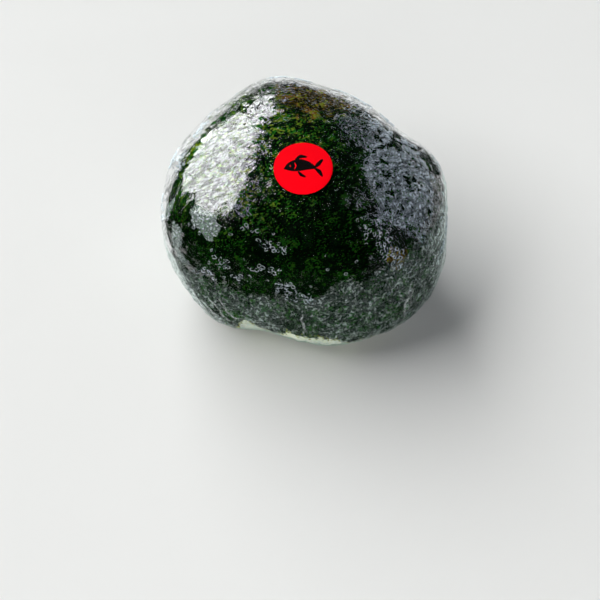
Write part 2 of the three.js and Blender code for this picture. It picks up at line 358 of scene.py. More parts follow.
class Strand:
    """A value or colour that varies over a finish. Sums on it add the nodes that work them out."""

    def __init__(self, finish, socket):
        self.finish, self.socket = finish, socket

    def _sum(self, operation, *terms):
        return self.finish.node("Math", dict(enumerate(terms)), operation=operation)

    def __add__(self, other):
        return self._sum("ADD", self, other)

    def __radd__(self, other):
        return self._sum("ADD", other, self)

    def __sub__(self, other):
        return self._sum("SUBTRACT", self, other)

    def __rsub__(self, other):
        return self._sum("SUBTRACT", other, self)

    def __mul__(self, other):
        return self._sum("MULTIPLY", self, other)

    def __rmul__(self, other):
        return self._sum("MULTIPLY", other, self)

    def __abs__(self):
        return self._sum("ABSOLUTE", self)

    def at_most(self, limit):
        return self._sum("MINIMUM", self, limit)


class Finish:
    """The nodes of a finish or of the studio, made one at a time."""

    def __init__(self, tree):
        self.tree = tree
        tree.nodes.clear()

    def node(self, kind, sockets=None, out=0, **settings):
        made = self.tree.nodes.new("ShaderNode" + kind)
        for name, value in settings.items():
            setattr(made, name, value)
        for name, value in (sockets or {}).items():
            if isinstance(value, Strand):
                self.tree.links.new(value.socket, made.inputs[name])
            else:
                made.inputs[name].default_value = value
        return Strand(self, made.outputs[out] if made.outputs else None)

    @cached_property
    def where(self):
        """Where a point is on the object."""
        return self.node("TexCoord", out="Object")

    def drawn(self, lengths, turn):
        """The same, for lumps drawn out by these lengths along axes turned by these degrees."""
        sockets = {"Vector": self.where, "Rotation": tuple(radians(turn)), "Scale": lengths}
        return self.node("Mapping", sockets, vector_type="TEXTURE")

    def noise(self, size, detail=3, roughness=0.6, distortion=0.0, where=None):
        """Cloudy values round 0.5, in lumps of about that many millimetres."""
        return self.node("TexNoise", {
            "Vector": where or self.where, "Scale": 1 / (size * MM), "Detail": detail,
            "Roughness": roughness, "Distortion": distortion})

    def step(self, value, low, high):
        """0 where the value is below low, 1 above high."""
        return self.node("MapRange", {"Value": value, "From Min": low, "From Max": high},
                         interpolation_type="SMOOTHSTEP")

    def patches(self, size, low, high, **noise):
        """0 and 1 in patches: noise of that size, cut off between two values."""
        return self.step(self.noise(size, **noise), low, high)

    def mix(self, factor, first, second):
        """Between two colours."""
        first, second = ((*c, 1) if isinstance(c, tuple) else c for c in (first, second))
        return self.node("Mix", {0: factor, 6: first, 7: second}, out=2, data_type="RGBA")

    def blend(self, factor, first, second):
        """Between two shaders."""
        return self.node("MixShader", {0: factor, 1: first, 2: second})

    def within(self, areas, soft=0.5):
        """1 in any of these round areas of the ball and 0 outside them, with a soft share of their reach."""
        outside = 1.0
        for place, reach in areas:
            away = self.node("VectorMath", {0: self.where, 1: tuple((MIDDLE + place) * MM)},
                             out="Value", operation="DISTANCE")
            outside = outside * self.step(away, (1 - soft) * reach * MM, reach * MM)
        return 1 - outside

    def measure(self, axis):
        """How far a point is from the form's middle along an axis, in millimetres."""
        along = self.node("SeparateXYZ", {"Vector": self.where}, out=axis)
        return along * (1 / MM) - float(MIDDLE["XYZ".index(axis)])


class Coat(Finish):
    """The nodes of a new material."""

    def __init__(self, name):
        self.material = bpy.data.materials.new(name)
        self.material.use_nodes = True
        super().__init__(self.material.node_tree)

    def bump(self, height, depth, strength=1.0):
        return self.node("Bump", {"Strength": strength, "Distance": depth * MM, "Height": height})

    def fresnel(self, normal):
        """How much the film mirrors."""
        return self.node("Fresnel", {"IOR": FILM_INDEX, "Normal": normal})

    def surface(self, colour, roughness, normal=None, specular=0.5, cover=None, others=None):
        """The material, with that look. Where a cover is given, the rest of the light passes through."""
        sockets = {"Base Color": colour, "Roughness": roughness, "Specular IOR Level": specular}
        if normal:
            sockets["Normal"] = normal
        look = self.node("BsdfPrincipled", sockets | (others or {}))
        if cover:
            look = self.blend(cover, self.node("BsdfTransparent", {"Color": CLEAR}), look)
        self.node("OutputMaterial", {"Surface": look}, is_active_output=True)
        return self.material


def seaweed_finish():
    """Roasted seaweed, damp under its film: near-black green with fibres, flecks and brown toasting. Its
    green and its flecks are strongest on the upper left, partly painted light where the softbox falls.
    """
    dark, thin_green = (0.0004, 0.0022, 0.0006), (0.003, 0.03, 0.002)
    dark_toast, thin_toast = (0.004, 0.005, 0.001), (0.045, 0.03, 0.004)
    leaf, yellow_leaf = (0.02, 0.19, 0.008), (0.28, 0.44, 0.016)
    amber, gold, rust = (0.26, 0.12, 0.015), (0.24, 0.28, 0.015), (0.3, 0.09, 0.012)
    f = Coat("roasted_seaweed")
    along = f.drawn(lengths=(1.3, 0.8, 0.9), turn=(0, 0, DRAWN_TURN))
    fibres = f.noise(1.0, roughness=0.7, distortion=0.6, where=along)
    fine = f.noise(0.5, detail=2, roughness=0.7, where=along)
    mesh = fibres * 0.4 + fine * 0.6 + (f.noise(6) - 0.5) * 0.3
    thin = f.step(mesh, 0.48, 0.52)
    lush_and_lit, roast = f.within(LUSH_AND_LIT, 0.7), f.within(TOASTED, 0.9)
    toasted = f.step(roast + (f.noise(3) - 0.5) * 2.4 * f.step(roast, 0, 0.3), 0.25, 0.6)
    # The thin green shows fully only on the upper left: partly the seaweed's own green, partly painted light
    # there, with painted shade holding the rest near black.
    colour = f.mix(thin * (0.18 + 0.82 * lush_and_lit), dark, thin_green)
    colour = f.mix(toasted * 0.8, colour, f.mix(thin, dark_toast, thin_toast))
    # Flecks where the sheet is thinnest, and fewer rust-brown sparks. The flecks come out most on the upper
    # left, partly painted light there, and a little more low down, painted light of the front fill.
    flecks = f.step(mesh + (f.noise(3.2, detail=1) - 0.5) * 0.3 + 0.015 * lush_and_lit, 0.56, 0.575)
    yellowing = f.patches(1.4, 0.48, 0.56, detail=2)
    green = f.mix(yellowing * (0.15 + 0.85 * lush_and_lit), leaf, yellow_leaf)
    low = 1 - f.step(f.measure("Z"), -9, -1)
    crisp = 0.17 + 0.83 * lush_and_lit + 0.12 * low + 0.7 * toasted * f.step(f.measure("Z"), -5, 15)
    colour = f.mix(flecks * crisp, colour, f.mix(toasted, green, f.mix(yellowing, amber, gold)))
    sparks = f.patches(0.7, 0.8, 0.82, detail=1)
    colour = f.mix(sparks * (0.15 + 0.85 * lush_and_lit), colour, rust)
    normal = f.bump(fibres * 0.6 + fine * 0.4, 0.22, 0.8)
    return f.surface(colour, 0.34 - 0.08 * thin, normal, specular=0.01)


def torn_finish():
    """Thin torn fibres of the seaweed, where the light comes through them."""
    f = Coat("torn_seaweed")
    thin = f.patches(1.2, 0.42, 0.58, detail=2)
    colour = f.mix(thin, (0.02, 0.05, 0.004), (0.42, 0.44, 0.03))
    return f.surface(colour, 0.5, f.bump(f.noise(0.4, detail=2), 0.1), specular=0.05)


def film_finish():
    """Thin clear film in several layers. It mirrors more the flatter it is looked along, and less
    where it clings to the damp seaweed with no air behind it."""
    f = Coat("clear_cling_film")
    drawn = f.drawn(**DRAWN)
    sheen_level = SHEEN_LEVEL + SHEEN_RISE * f.step(f.measure("X"), 0, 15)
    high = f.step(f.measure("Z") + (f.noise(2.5) - 0.5) * 8 - sheen_level, -1.2, 1.2)

    # Islands of caught air, ringed bubbles, small round pearls of air, and the film's own drape.
    islands = f.noise(4.5, detail=2) * 0.35 + f.noise(1.5, detail=4, roughness=0.62, distortion=0.8) * 0.65
    airy, side = f.within(AIRY, 0.25), f.within(AIRY_SIDE, 0.5)
    islands += airy * 0.09 + f.within(SPECKLED) * 0.06 + side * 0.075 - 0.02 - f.within(CLINGING, 0.6) * 0.15
    air = f.step(islands, 0.48, 0.51)
    bubbles = f.noise(1.5, detail=0, distortion=0.2)
    ring = f.step(bubbles, 0.66, 0.69) * (1 - f.step(bubbles, 0.71, 0.75))
    pearls = f.patches(0.75, 0.56, 0.6, detail=1, distortion=0.8)
    drape = f.noise(2.4, detail=2, where=drawn)
    vein = 1 - f.step(abs(f.noise(2.8, distortion=0.5, where=drawn) - 0.5), 0.004, 0.02)
    marble = f.patches(1.7, 0.46, 0.53, detail=4, distortion=0.7, where=drawn)
    normal = f.bump(drape * 1.3 + marble * 0.06 + air * 0.3 + ring * 0.4 + pearls * (0.3 - 0.2 * airy), 0.06)

    # How much of the light it mirrors high on the ball.
    cover = (0.52 + 0.5 * marble + pearls * (0.5 - 0.3 * airy)) * (1 - 0.35 * vein)
    cover = cover + side * (0.22 + 0.24 * marble + 1.05 * pearls - cover)
    cover = cover * (1 - 0.55 * f.within(FAINT, 0.6))
    seam = f.within([(tuple(np.interp(step, range(len(SEAM)), axis) for axis in SEAM.T), SEAM_REACH)
                     for step in np.linspace(0, len(SEAM) - 1, SEAM_STEPS)], 0.8)
    broken = seam * 0.8 + (f.noise(1.6) - 0.5) * 2.6
    loose = 1 - f.step(broken, 0.42, 0.5) * f.step(seam, 0, 0.3)
    on_top = ((0.03 + 1.0 * air) * cover + 0.3 * ring) * loose

    # And low on it, over small bumps.
    beads = f.patches(1.15, 0.58, 0.61, detail=1, distortion=0.7)
    pits = f.patches(0.7, 0.45, 0.51, detail=2, roughness=0.7, distortion=0.5)
    clouds = f.patches(7, 0.38, 0.62)
    lower = (0.42 + 0.25 * air + 0.7 * pearls + 1.8 * beads) * (0.45 + 0.6 * pits) * (0.65 + 0.75 * clouds)
    share = lower + high * (on_top - lower)

    # Pleats round the side mirror brightly where the film is looked along flat.
    round_the_side = f.drawn(lengths=(2.6, 2.6, 0.55), turn=(41, 0, 0))
    pleats = f.patches(1.0, 0.42, 0.54, distortion=0.3, where=round_the_side)
    folds = (0.5 + 0.5 * air) * (0.45 + 0.75 * pleats) * (0.15 + 0.85 * high) * (0.08 + 0.92 * loose)
    mirror = f.fresnel(normal)
    mirror = mirror * share + f.step(mirror + 0.07 * f.within(SLACK), 0.18, 0.24) * folds * 1.2
    over_green = f.mix(vein * airy, (0.96, 0.97, 0.98), (0.82, 0.97, 0.6))
    # Low on the ball the mirror colour is tinted green: a painted reflection colour standing in for a
    # greenish surround.
    colour = f.mix(high, (0.8, 0.98, 0.94), over_green)
    return f.surface(colour, 0.05, normal, cover=mirror.at_most(1.0), others={"Metallic": 1.0})


def folded_film_painted_highlight_finish():
    """The film where it laps over itself: more layers give a whiter shine, partly the film's own milky white
    and partly a painted highlight standing in for the fold mirroring the side light.
    """
    f = Coat("folded_cling_film_painted_highlight")
    normal = f.bump(f.noise(0.8, detail=2), 0.05)
    layers = f.patches(0.9, 0.4, 0.6, detail=2)
    # A whitish colour lit like a dull surface: partly painted highlight.
    colour = f.mix(layers, (0.6, 0.68, 0.66), (0.86, 0.9, 0.9))
    mirror = f.fresnel(normal) * (0.8 + 1.2 * layers) + 0.06 + 0.08 * layers
    return f.surface(colour, 0.12, normal, cover=mirror.at_most(0.55), others={"Metallic": 0.3})


def painted_glint_wrinkle_finish():
    """Sharp small wrinkles of the film, painted bluish white as glints: the colour stands in for the
    highlights they would catch.
    """
    f = Coat("wrinkled_cling_film_painted_glints")
    patchy = f.patches(0.9, 0.44, 0.52, detail=2)
    # A painted glint colour, bluish white like the side light.
    colour, normal = f.mix(patchy, (0.6, 0.72, 0.8), (0.8, 0.9, 0.98)), f.bump(f.noise(0.4, detail=1), 0.03)
    return f.surface(colour, 0.2, normal, specular=0.3, cover=0.06 + 0.5 * patchy)


def lapped_film_painted_reflection_finish():
    """Two layers of film with damp between them: a thin milky veil, whitened partly as a painted reflection.
    """
    f = Coat("lapped_cling_film_painted_reflection")
    streaks = f.patches(0.8, 0.44, 0.56, where=f.drawn(**DRAWN))
    drops = f.patches(0.7, 0.58, 0.62, detail=1)
    colour = f.mix(drops, (0.42, 0.52, 0.49), (0.76, 0.84, 0.86))
    cover = 0.11 + 0.1 * streaks + 0.09 * drops
    return f.surface(colour, 0.35, f.bump(streaks, 0.03), specular=0.15, cover=cover)


def rice_finish():
    """Cooked short-grain rice: creamy, a little translucent, moist."""
    f = Coat("cooked_rice")
    cloudy = f.patches(3.5, 0.35, 0.65)
    colour = f.mix(cloudy, (0.93, 0.94, 0.76), (0.985, 0.985, 0.88))
    return f.surface(colour, 0.38, f.bump(f.noise(0.5), 0.06), others={
        "Subsurface Weight": 0.25, "Subsurface Radius": (0.0022, 0.0018, 0.0012), "Subsurface Scale": 1.0})


def label_finish():
    """Red printed paper with a fine tooth."""
    f = Coat("red_label_paper")
    tooth = f.noise(0.35)
    colour = f.mix(tooth, (0.92, 0.0003, 0.006), (0.96, 0.0005, 0.008))
    return f.surface(colour, 0.7, f.bump(tooth, 0.012), specular=0.01)


def ink_finish():
    """Dull black ink, thinner where the brush ran dry."""
    f = Coat("black_brush_ink")
    dry = f.noise(0.3, detail=4)
    colour = f.mix(dry, (0.001, 0.0008, 0.0008), (0.004, 0.0022, 0.0022))
    return f.surface(colour, 0.75, f.bump(dry, 0.01), specular=0.01)


def floor_finish():
    """A pale table, faintly mottled."""
    f = Coat("pale_floor")
    return f.surface(f.mix(f.noise(40, detail=4), (0.78, 0.78, 0.77), (0.8, 0.8, 0.792)), 0.7, specular=0.03)


# ---- rice grains under the seaweed, and bare below its edge ----

def nori_edge(azimuth):
    """How far down the sheet reaches, as an elevation in degrees."""
    edge = EDGE_ELEVATION
    for towards, rise, spread in EDGE_RISES:
        away = (azimuth - towards + 180) % 360 - 180
        edge = edge + rise * np.exp(-((away / spread) ** 2))
    return edge + sum(NORI_TEAR / (i + 1) * sin(waves * radians(azimuth) + i)
                      for i, waves in enumerate(NORI_TEAR_WAVES))


def grain_places():
    """Even directions with a little scatter, and the way each grain lies and its size."""
    draw = np.random.default_rng(GRAIN_SEED)
    count = np.arange(GRAIN_COUNT)
    z = 1 - 2 * (count + 0.5) / GRAIN_COUNT
    turn = count * GOLDEN_ANGLE
    level = np.sqrt(1 - z * z)
    directions = np.stack([level * cos(turn), level * sin(turn), z], 1)
    directions = unit(directions + draw.normal(0, GRAIN_SCATTER, directions.shape))
    return directions, draw.uniform(0, np.pi, GRAIN_COUNT), draw.uniform(*GRAIN_SIZES, GRAIN_COUNT)


def tangents(normals, lie):
    """Two directions along the surface: the grain's length, and across it."""
    side = unit(np.cross(normals, np.where(np.abs(normals[:, 2:]) < 0.9, [[0, 0, 1.0]], [[1.0, 0, 0]])))
    other = np.cross(normals, side)
    along = side * cos(lie)[:, None] + other * sin(lie)[:, None]
    return along, np.cross(normals, along)


grain_directions, grain_lie, grain_size = grain_places()
grain_middles = outer_points(grain_directions)
grain_normals = core.normals[core.nearest(grain_directions)]
grain_along, grain_across = tangents(grain_normals, grain_lie)


def grain_swell(form):
    """How high a layer stands over the grains beneath it, from 0 between them to 1 on their backs."""
    tree = tree_of(form.points)
    swell = np.zeros(len(form.points))
    for middle, along, across, size in zip(grain_middles, grain_along, grain_across, grain_size):
        half_length, half_width, _ = GRAIN / 2 * size
        near = np.array([index for _, index, _ in tree.find_range(middle, half_length + SWELL_MARGIN)])
        if not len(near):
            continue
        away = form.points[near] - middle
        far = (away @ along / half_length) ** 2 + (away @ across / half_width) ** 2
        swell[near] = np.maximum(swell[near], np.sqrt(np.clip(1 - far, 0, 1)))
    return swell


grain_backs = grain_swell(ball)

# ---- seaweed ----

def seaweed():
    """The sheet down to its torn edge, and how deep it lies."""
    edge = nori_edge(ball.azimuth)
    elevation = np.where(np.abs(ball.elevation - edge) < EDGE_SNAP, edge, ball.elevation)
    sheet = Form(direction_at(ball.azimuth, elevation), ball.triangles)
    puckers = sum(soft_noise(ball.points, size, seed) * height for size, height, seed in NORI_PUCKERS)
    lumps = ball.evened(grain_backs, NORI_EVENING)
    depth = NORI_DEPTH - NORI_RISE * lumps + spots(ball.directions, LOOSE_FILM) - puckers
    points = sheet.at_depth(depth)
    triangles = ball.triangles[(elevation >= edge)[ball.triangles].all(1)]
    both = {tuple(pair) for pair in edges(triangles).tolist()}
    rim = [(a, b) for a, b in both if (b, a) not in both]
    rim_points = sorted({end for pair in rim for end in pair})
    inner = {point: len(points) + i for i, point in enumerate(rim_points)}
    points = np.vstack([points, sheet.at_depth(depth + NORI_THICKNESS)[rim_points]])
    skirt = [t for a, b in rim for t in ((b, a, inner[a]), (b, inner[a], inner[b]))]
    used, triangles = np.unique(np.vstack([triangles, skirt]), return_inverse=True)
    piece("seaweed_sheet", points[used], triangles.reshape(-1, 3), seaweed_finish(), "nori")
    return depth


nori_depth = seaweed()

SCRAPS = 1100
SCRAP_LENGTH = 0.45, 1.3
SCRAP_SPREAD = 1.0  # degrees up and down from the sheet's edge
SCRAP_LIFT, SCRAP_THICKNESS = 0.25, 0.12
SCRAP_SIDES = 5
SCRAP_TAPER = 0.8
SCRAP_SEED = 31


def torn_edge():
    """Small scraps and fibres along the torn edge of the sheet."""
    draw = np.random.default_rng(SCRAP_SEED)
    sides = SCRAP_SIDES
    azimuth = np.sort(draw.uniform(-180, 180, SCRAPS))
    directions = direction_at(azimuth, nori_edge(azimuth) + draw.normal(0, SCRAP_SPREAD, SCRAPS))
    middles, normals = outer_points(directions), core.normals[core.nearest(directions)]
    points, triangles = [], []
    for middle, normal in zip(middles, normals):
        length = draw.uniform(*SCRAP_LENGTH)
        along, across = (axis[0] for axis in tangents(normal[None], np.array([draw.uniform(0, TURN)])))
        ways = TURN * (np.arange(sides) + draw.uniform(-0.3, 0.3, sides)) / sides
        reach = draw.uniform(0.6, 1.0, sides)[:, None]
        rim = reach * (cos(ways)[:, None] * along * length / 2 + sin(ways)[:, None] * across * length / 4)
        bottom = middle - normal * (NORI_DEPTH - SCRAP_LIFT)
        count = len(points)
        points += [*(bottom + rim), *(bottom + rim * SCRAP_TAPER + normal * SCRAP_THICKNESS)]
        triangles += turned_over(row_faces(count, sides, 2) + fan_faces(count, sides))
        triangles += fan_faces(count + sides, sides)
    piece("torn_seaweed_scraps", points, triangles, torn_finish(), smooth=False)


torn_edge()

# ---- film ----

# Long creases in the film: from one azimuth and elevation to another, height and width.
CREASES = [
    ((-42.2, -6.2), (-44.1, -23), 0.25, 0.35), ((-40.8, -8), (-41.7, -14.7), 0.2, 0.3),
    ((9.5, 14.5), (1.8, 10.1), 0.25, 0.35),
]
SMALL_CREASES = 90
CREASE_REACH, CREASE_HEIGHT, CREASE_WIDTH = (0.12, 0.5), (0.05, 0.14), (0.28, 0.5)
CREASE_WANDER = 0.5
HIGH_CREASE_SHARE = 0.08  # of their height, over the tight top
CREASE_SEED = 7

CRINKLES = [(1.9, 1.0, 11), (0.95, 0.5, 12)]  # size, share, seed
CRINKLE_FINENESS = np.array([0.5, 1.3, 1.1])  # along the way that the film is drawn, across it and up
CRINKLE_HEIGHT, LOW_CRINKLE_RISE = 0.003, 0.02
BILLOW_SIZE, BILLOW_HEIGHT = 5.5, 0.05
SIDE_PLEATS, SIDE_PLEAT_DEPTH = 47, 0.25  # each half turn
GATHERS, GATHER_DEPTH = 19, 0.9
# Degrees below the widest level over which the film comes to follow the grains, to be pleated, and to
# be gathered underneath.
LOW_RANGE, PLEAT_RANGE, GATHER_RANGE = (-28, 12), (5, 45), (55, 84)
LABEL_PRESS_RANGE, LABEL_PRESS_DEPTH = (13, 27), 0.06  # degrees from the label over which it comes free


def crease_field(form):
    """How high the creases stand."""
    draw = np.random.default_rng(CREASE_SEED)
    lines = [(direction_at(*a), direction_at(*b), height, width) for a, b, height, width in CREASES]
    for _ in range(SMALL_CREASES):
        start = unit(draw.normal(size=3))
        end = unit(start + unit(np.cross(start, draw.normal(size=3))) * draw.uniform(*CREASE_REACH))
        lines.append((start, end, draw.uniform(*CREASE_HEIGHT), draw.uniform(*CREASE_WIDTH)))
    total = np.zeros(len(form.points))
    for start, end, height, width in lines:
        across = unit(np.cross(start, end))
        middle = unit(start + end)
        half = np.arccos(np.clip(start @ end, -1, 1)) / 2
        offset = form.directions @ across * PLAN_RADIUS
        along = np.arctan2(form.directions @ np.cross(across, middle), form.directions @ middle)
        wander = CREASE_WANDER * sin(along * 23 + height * 90)
        ridge = np.exp(-((offset + wander) / width) ** 2) * np.clip(1 - (along / half) ** 2, 0, 1)
        total = np.maximum(total, height * ridge)
    return total


def film():
    """The film over everything, and how deep it lies."""
    low, pleated, under = (eased(-ball.elevation, *span) for span in (LOW_RANGE, PLEAT_RANGE, GATHER_RANGE))
    tight, bumpy = (ball.evened(grain_backs, rounds) for rounds in (FILM_EVENING, LOW_FILM_EVENING))
    depth = (FILM_DEPTH - FILM_RISE * tight) * (1 - low) + (LOW_FILM_DEPTH - LOW_FILM_RISE * bumpy) * low

    drawn = ball.points @ np.array(Matrix.Rotation(radians(-DRAWN_TURN), 3, "Z")).T * CRINKLE_FINENESS
    crinkle = sum(share * (1 - np.abs(soft_noise(drawn, size, seed)) * 2) for size, share, seed in CRINKLES)
    billow = BILLOW_HEIGHT * soft_noise(ball.points, BILLOW_SIZE, 13)
    creases = crease_field(ball) * (HIGH_CREASE_SHARE + (1 - HIGH_CREASE_SHARE) * low)
    depth -= (CRINKLE_HEIGHT + LOW_CRINKLE_RISE * low) * crinkle + billow + creases

    turn = radians(ball.azimuth) + 0.1 * soft_noise(ball.points, 9, 14)
    pleats = np.abs(sin(turn * SIDE_PLEATS + soft_noise(ball.points, 6, 15))) ** 0.7
    gathers = np.abs(sin(turn * GATHERS + 1.2 * soft_noise(ball.points, 5, 16))) ** 0.6
    depth += SIDE_PLEAT_DEPTH * pleated * (1 - under) * (1 - pleats) + GATHER_DEPTH * under * (1 - gathers)

    from_label = np.degrees(np.arccos(np.clip(ball.directions @ LABEL_AIM, -1, 1)))
    pressed = 1 - eased(from_label, *LABEL_PRESS_RANGE)
    depth = np.maximum(depth, 0) * (1 - pressed) + LABEL_PRESS_DEPTH * pressed
    depth = np.minimum(depth, nori_depth - LEAST_GAP)
    piece("cling_film", ball.at_depth(depth), ball.triangles, film_finish(), "film")
    return depth


film_depth = film()

# Narrow folds where the film laps over itself, whitened partly as a painted highlight: from one azimuth and
# elevation to another, and half width.
FILM_FOLDS = [
    ((-42.2, -5), (-45, -25), 0.32), ((-40.4, -8), (-42.5, -19), 0.28),
    ((9.5, 14.5), (1.8, 10.1), 0.35), ((-91, -14), (-91.5, -29), 0.4),
    ((-141, -17), (-133, -33), 0.35), ((-137, -15), (-129, -29), 0.3),
    ((-133, -14), (-125, -27), 0.35), ((-147, -12), (-139, -30), 0.3),
    ((160, -10), (166, -35), 0.4), ((70, -8), (78, -32), 0.4),
    ((110, 0), (104, -26), 0.35), ((30, -5), (36, -30), 0.4),
]
FOLD_PROFILE = [(-1.0, 0.0), (-0.6, 0.75), (-0.2, 0.35), (0.2, 1.0), (0.6, 0.5), (1.0, 0.0)]
FOLD_HEIGHT = 0.28
FOLD_STEPS = 40
FOOT_LIFT = 0.03  # of the feet of folds and wrinkles over the film


def on_film(directions, lift):
    """Points at a height over the film."""
    nearest = ball.nearest(directions)
    return outer_points(directions) + ball.normals[nearest] * (lift - film_depth[nearest])[:, None]


def beside(aim, across, up):
    """Directions that meet the form these lengths across and up from where the aim meets it."""
    side = unit(np.cross([0, 0, 1.0], aim))
    return unit(aim + (across[:, None] * side + up[:, None] * np.cross(aim, side)) / PLAN_RADIUS)


def film_folds():
    points, triangles = [], []
    share = np.linspace(0, 1, FOLD_STEPS)
    taper = sin(np.pi * share) ** 0.6
    for number, (start, end, half_width) in enumerate(FILM_FOLDS):
        start, end = direction_at(*start), direction_at(*end)
        way = unit(np.outer(1 - share, start) + np.outer(share, end))
        across = unit(np.cross(way, end - start))
        wander = 0.35 * sin(share * 9 + number) + 0.15 * sin(share * 23 + 2 * number)
        strip = row_faces(len(points) * FOLD_STEPS, FOLD_STEPS, len(FOLD_PROFILE), closed=False)
        triangles += turned_over(strip)
        for offset, rise in FOLD_PROFILE:
            directions = unit(way + across * ((wander + offset * half_width * taper) / PLAN_RADIUS)[:, None])
            points.append(on_film(directions, rise * FOLD_HEIGHT * taper + FOOT_LIFT))
    piece("cling_film_folds_painted_highlight", np.vstack(points), triangles, folded_film_painted_highlight_finish())


film_folds()

# Clusters of small air bubbles pressed flat under the film, where its wrinkles stand round each of them,
# painted white as glints: azimuth, elevation, half length and half width.
BUBBLE_CLUSTERS = [
    (-105.4, 18.3, 5, 1.3), (-129.2, 5.5, 2.4, 1.5), (-107.7, 8, 4.6, 1.2), (-98.5, 0, 3.6, 2.2),
    (-92.5, -5, 4, 1.6), (-137, -3, 3.2, 1.3), (-120, 1, 2.4, 1), (-118, 24, 2.6, 0.9),
    (-52, 21, 3.4, 1.6), (-48.5, 13.5, 2.4, 2.8), (-46, 6, 2, 2.2), (-128, 30, 4, 1.4)]
MORE_CLUSTERS = (-20, 200), (-32, 30), (1.5, 4), (0.8, 2)  # the same, drawn between two values
CLUSTER_COUNT, LONE_BUBBLES = 60, 240
LONE_PLACES = (-165, 200), (-8, 60)
LONE_ROOM = 0.6, 0.5  # half a length and width that hold one
LONE_SIZE = 0.68  # of one in a cluster
LABEL_CLEAR = 0.85  # cosine of a lone bubble's least angle from the label's middle
BUBBLE_STEP, BUBBLE_ROW = 1.35, 1.0  # from one bubble to the next along a cluster and across it
BUBBLE_SCATTER = 0.22
BUBBLES_MISSING = 0.25  # of those in a cluster
BUBBLE_RADIUS, BUBBLE_SQUASH = (0.45, 0.8), (0.5, 0.8)
BUBBLE_RIM = 0.065  # half the width of the wrinkle round a bubble
BUBBLE_RIM_HEIGHT = 0.16
BUBBLE_SIDES = 12
BUBBLE_SEED = 43


def bubble_clusters(draw):
    clusters = list(BUBBLE_CLUSTERS)
    while len(clusters) < CLUSTER_COUNT:
        clusters.append([draw.uniform(*span) for span in MORE_CLUSTERS])
    while len(clusters) < CLUSTER_COUNT + LONE_BUBBLES:
        place = [draw.uniform(*span) for span in LONE_PLACES]
        if direction_at(*place) @ LABEL_AIM < LABEL_CLEAR:
            clusters.append([*place, *LONE_ROOM])
    return clusters


def bubble_rims():
    draw = np.random.default_rng(BUBBLE_SEED)
    step = np.array([BUBBLE_STEP, BUBBLE_ROW])
    ways = spokes(BUBBLE_SIDES)
    directions, lifts, triangles = [], [], []
    for azimuth, elevation, *halves in bubble_clusters(draw):
        aim = direction_at(azimuth, elevation)
        columns, rows = (max(1, round(count)) for count in 2 * np.array(halves) / step)
        for column, row in itertools.product(range(columns), range(rows)):
            if draw.uniform() < BUBBLES_MISSING:
                continue
            place = np.array([column - (columns - 1) / 2 + 0.5 * (row % 2), row - (rows - 1) / 2]) * step
            place += draw.normal(0, BUBBLE_SCATTER, 2)
            radius, squash = (draw.uniform(*span) for span in (BUBBLE_RADIUS, BUBBLE_SQUASH))
            lie = draw.normal(0.4, 0.4)
            size = LONE_SIZE if columns * rows == 1 else 1
            rim = BUBBLE_RIM * size
            reach = 1 + 0.2 * sin(2 * ways + draw.uniform(0, TURN)) + draw.uniform(-0.18, 0.18, BUBBLE_SIDES)
            triangles += row_faces(len(directions) * BUBBLE_SIDES, BUBBLE_SIDES, 3)
            for offset, lift in ((-rim, FOOT_LIFT), (0, BUBBLE_RIM_HEIGHT * size), (rim, FOOT_LIFT)):
                long, short = (radius * size * reach + offset) * (cos(ways), squash * sin(ways))
                across, up = turned(long, short, lie)
                directions.append(beside(aim, place[0] + across, place[1] + up))
                lifts.append(np.full(BUBBLE_SIDES, lift))
    points = on_film(np.vstack(directions), np.hstack(lifts))
    piece("cling_film_bubble_rims_painted_glints", points, triangles, painted_glint_wrinkle_finish())


bubble_rims()

# Patches where the film lies double, their milky veil partly a painted reflection: azimuth, elevation, half
# length, half width and turn.
FILM_LAPS = [
    (-140, 18.5, 4.7, 3.4, -10), (-151.5, 5.5, 2.2, 3.6, 10), (-148.5, -2, 2, 1.5, -30),
    (-160, 12, 1.3, 2.4, 0)]
MORE_LAPS = (40, 160), (-32, 14), (1.5, 4.5), (1.5, 4.5), (0, 180)  # the same, between two values
LAP_WAVES = (2, 0.12), (3, 0.12), (5, 0.1), (9, 0.07), (14, 0.05)  # a turn of its edge, and their height
LAP_LIFT, LAP_UNEVENNESS = 0.05, 0.03
LAP_COUNT = 26
LAP_SIDES, LAP_RINGS = 48, 6
LAP_SEED = 47


def film_laps():
    draw = np.random.default_rng(LAP_SEED)
    laps = list(FILM_LAPS)
    while len(laps) < LAP_COUNT:
        laps.append([draw.uniform(*span) for span in MORE_LAPS])
    ways = spokes(LAP_SIDES)
    directions, triangles = [], []
    for azimuth, elevation, length, width, turn in laps:
        reach = 1 + sum(size * sin(waves * ways + draw.uniform(0, TURN)) for waves, size in LAP_WAVES)
        triangles += row_faces(len(directions) * LAP_SIDES, LAP_SIDES, LAP_RINGS + 1)
        for ring in range(LAP_RINGS + 1):
            long, short = reach * ring / LAP_RINGS * (length * cos(ways), width * sin(ways))
            directions.append(beside(direction_at(azimuth, elevation), *turned(long, short, radians(turn))))
    directions = np.vstack(directions)
    points = on_film(directions, LAP_LIFT + LAP_UNEVENNESS * soft_noise(outer_points(directions), 0.8, 51))
    piece("cling_film_laps_painted_reflection", points, triangles, lapped_film_painted_reflection_finish())


film_laps()

# ---- rice ----

def one_grain(sides=10, rings=7):
    """A short plump grain along x, half a unit long each way."""
    points = [(-0.5, 0, 0)]
    for ring in range(1, rings):
        x = -0.5 * cos(np.pi * ring / rings)
        wide = np.sqrt(1 - (2 * abs(x)) ** 2.3) / 2
        points += [(x, wide * cos(way), wide * sin(way)) for way in spokes(sides)]
    points.append((0.5, 0, 0))
    last = len(points) - 1
    triangles = cone_faces(0, 1, sides) + row_faces(1, sides, rings - 1)
    return np.array(points), np.array(turned_over(triangles) + cone_faces(last, last - sides, sides))


